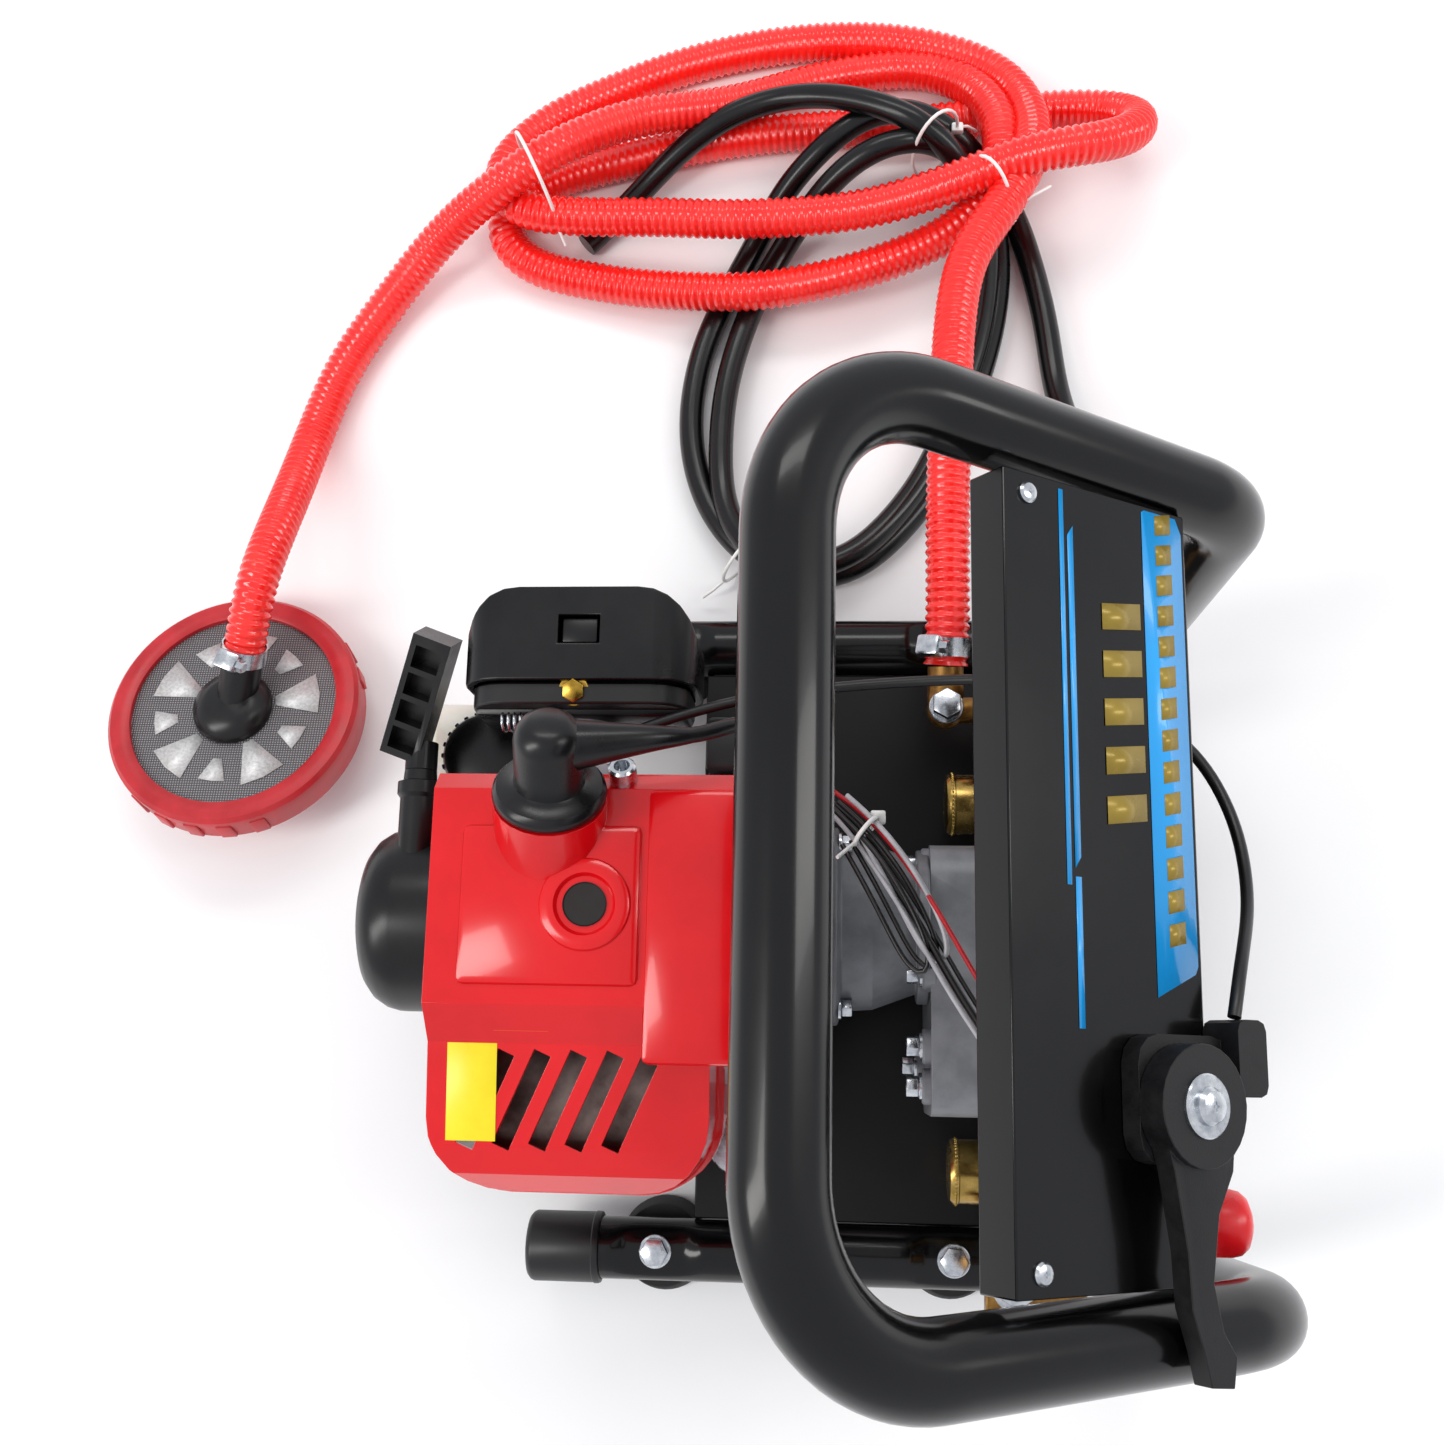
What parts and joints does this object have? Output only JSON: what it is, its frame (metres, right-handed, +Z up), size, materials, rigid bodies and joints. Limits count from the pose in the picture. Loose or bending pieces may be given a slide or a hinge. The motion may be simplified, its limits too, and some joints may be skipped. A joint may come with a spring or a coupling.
{
  "type": "portable power sprayer",
  "caption": "Petrol-engined power sprayer: red-shrouded two-stroke engine and opposed plunger pump in a black tube frame, with coiled hoses and strainer.",
  "frame": {"origin": "centre of the footprint, on the surface that the feet stand on", "axes": "+X forward to the label plate, +Y to the hose side, +Z up"},
  "size_m": [0.6175, 0.7776, 0.44],
  "materials": {
    "black_powder": "gloss powder coat",
    "black_sheet": "gloss paint",
    "black_plastic": "satin moulded",
    "red_plastic": "gloss moulded",
    "rubber_black": "matt",
    "zinc_steel": "bright zinc",
    "cast_alloy": "as cast",
    "dark_alloy": "painted casting",
    "inner_steel": "machined",
    "brass": "turned",
    "muffler_steel": "heat stained",
    "tank_plastic": "translucent",
    "ceramic_white": "glazed",
    "hose_red": "spiral hose",
    "hose_black": "smooth hose",
    "strainer_red": "moulded rim"
  },
  "bodies": {
    "machine": {"frame_tube": "black_powder", "base_plate": "black_sheet", "label_plate": "black_sheet", "crankcase": "cast_alloy", "fan_housing": "cast_alloy", "clutch_housing": "dark_alloy", "cylinder": "cast_alloy", "muffler": "muffler_steel", "engine_shroud": "red_plastic", "spark_plug": "ceramic_white", "plug_boot": "rubber_black", "ht_lead": "rubber_black", "recoil_housing": "black_plastic", "air_cleaner_cover": "black_plastic", "air_cleaner_base": "black_plastic", "carburettor": "cast_alloy", "fuel_tank": "tank_plastic", "pump_gearcase": "cast_alloy", "pump_cylinder_near": "cast_alloy", "pump_cylinder_far": "cast_alloy", "valve_head_near": "brass", "valve_head_far": "brass", "tie_rod_near": "zinc_steel", "tie_rod_far": "zinc_steel", "suction_elbow": "brass", "pressure_regulator": "brass", "throttle_bracket": "black_plastic", "throttle_cable": "rubber_black", "stop_switch_body": "black_plastic", "stop_wires": "rubber_black", "suction_hose_coil": "hose_red", "suction_hose_lead": "hose_red", "suction_hose_tail": "hose_red", "strainer": "strainer_red", "return_hose_coil": "hose_black", "return_hose_lead": "hose_black", "foot_1": "rubber_black", "foot_bolt_1": "zinc_steel", "foot_2": "rubber_black", "foot_bolt_2": "zinc_steel", "foot_3": "rubber_black", "foot_bolt_3": "zinc_steel", "foot_4": "rubber_black", "foot_bolt_4": "zinc_steel", "end_cap_1": "black_plastic", "end_cap_2": "black_plastic"},
    "crank": {"crankshaft": "inner_steel", "flywheel": "cast_alloy"},
    "clutch": {"clutch_drum": "inner_steel"},
    "pump_crank": {"pump_gear": "inner_steel"},
    "plungers": {"plunger_yoke": "inner_steel"},
    "starter_handle": {"starter_grip": "black_plastic"},
    "starter_pulley": {"recoil_pulley": "tank_plastic"},
    "throttle": {"throttle_lever": "black_plastic"},
    "carburettor_arm": {"throttle_arm": "zinc_steel"},
    "stop_push": {"stop_button": "strainer_red"},
    "regulator": {"regulator_knob": "black_plastic"},
    "tank_cap": {"fuel_cap": "black_plastic"},
    "grease_cap_near": {"grease_cup_near": "brass"},
    "grease_cap_far": {"grease_cup_far": "brass"}
  },
  "joints": [
    {"name": "crankshaft_spin", "type": "hinge", "parent": "machine", "child": "crank", "pos_m": [0, 0, 0.122], "axis": [1, 0, 0], "continuous": true},
    {"name": "clutch_spin", "type": "hinge", "parent": "machine", "child": "clutch", "pos_m": [0.05, 0, 0.122], "axis": [1, 0, 0], "continuous": true},
    {"name": "pump_crank_spin", "type": "hinge", "parent": "machine", "child": "pump_crank", "pos_m": [0.1, -0.026, 0.095], "axis": [1, 0, 0], "continuous": true},
    {"name": "plunger_stroke", "type": "slide", "parent": "machine", "child": "plungers", "axis": [0, 1, 0], "range_m": [-0.007, 0.007]},
    {"name": "starter_pull", "type": "slide", "parent": "machine", "child": "starter_handle", "axis": [0, 1, 0], "range_m": [0, 0.15], "stiffness_N_per_m": 25},
    {"name": "pulley_turn", "type": "hinge", "parent": "machine", "child": "starter_pulley", "pos_m": [-0.18, 0, 0.122], "axis": [-1, 0, 0], "range_deg": [0, 345]},
    {"name": "throttle_turn", "type": "hinge", "parent": "machine", "child": "throttle", "pos_m": [0.14598, -0.08, 0.33548], "axis": [0.6093, 0, 0.793], "range_deg": [-40, 0]},
    {"name": "carburettor_arm_turn", "type": "hinge", "parent": "machine", "child": "carburettor_arm", "pos_m": [-0.096, 0.072, 0.166], "axis": [1, 0, 0], "range_deg": [-45, 0]},
    {"name": "stop_press", "type": "slide", "parent": "machine", "child": "stop_push", "axis": [-1, 0, 0], "range_m": [0, 0.0025], "stiffness_N_per_m": 300},
    {"name": "regulator_turn", "type": "hinge", "parent": "machine", "child": "regulator", "pos_m": [0.1603, 0.1171, 0.142], "axis": [0, 0, 1], "range_deg": [-180, 180]},
    {"name": "fuel_cap_turn", "type": "hinge", "parent": "machine", "child": "tank_cap", "pos_m": [-0.152, 0.084, 0.125], "axis": [0, 0, 1], "range_deg": [0, 270]},
    {"name": "grease_cap_near_turn", "type": "hinge", "parent": "machine", "child": "grease_cap_near", "pos_m": [0.08, -0.118, 0.095], "axis": [1, 0, 0], "range_deg": [0, 350]},
    {"name": "grease_cap_far_turn", "type": "hinge", "parent": "machine", "child": "grease_cap_far", "pos_m": [0.08, 0.066, 0.095], "axis": [1, 0, 0], "range_deg": [0, 350]}
  ],
  "couplings": [
    {"joint": "clutch_spin", "follows": "crankshaft_spin", "ratio": 1},
    {"joint": "pump_crank_spin", "follows": "crankshaft_spin", "ratio": -0.40102},
    {"joint": "pulley_turn", "follows": "starter_pull", "rad_per_m": 38.462},
    {"joint": "carburettor_arm_turn", "follows": "throttle_turn", "ratio": 1.125}
  ]
}
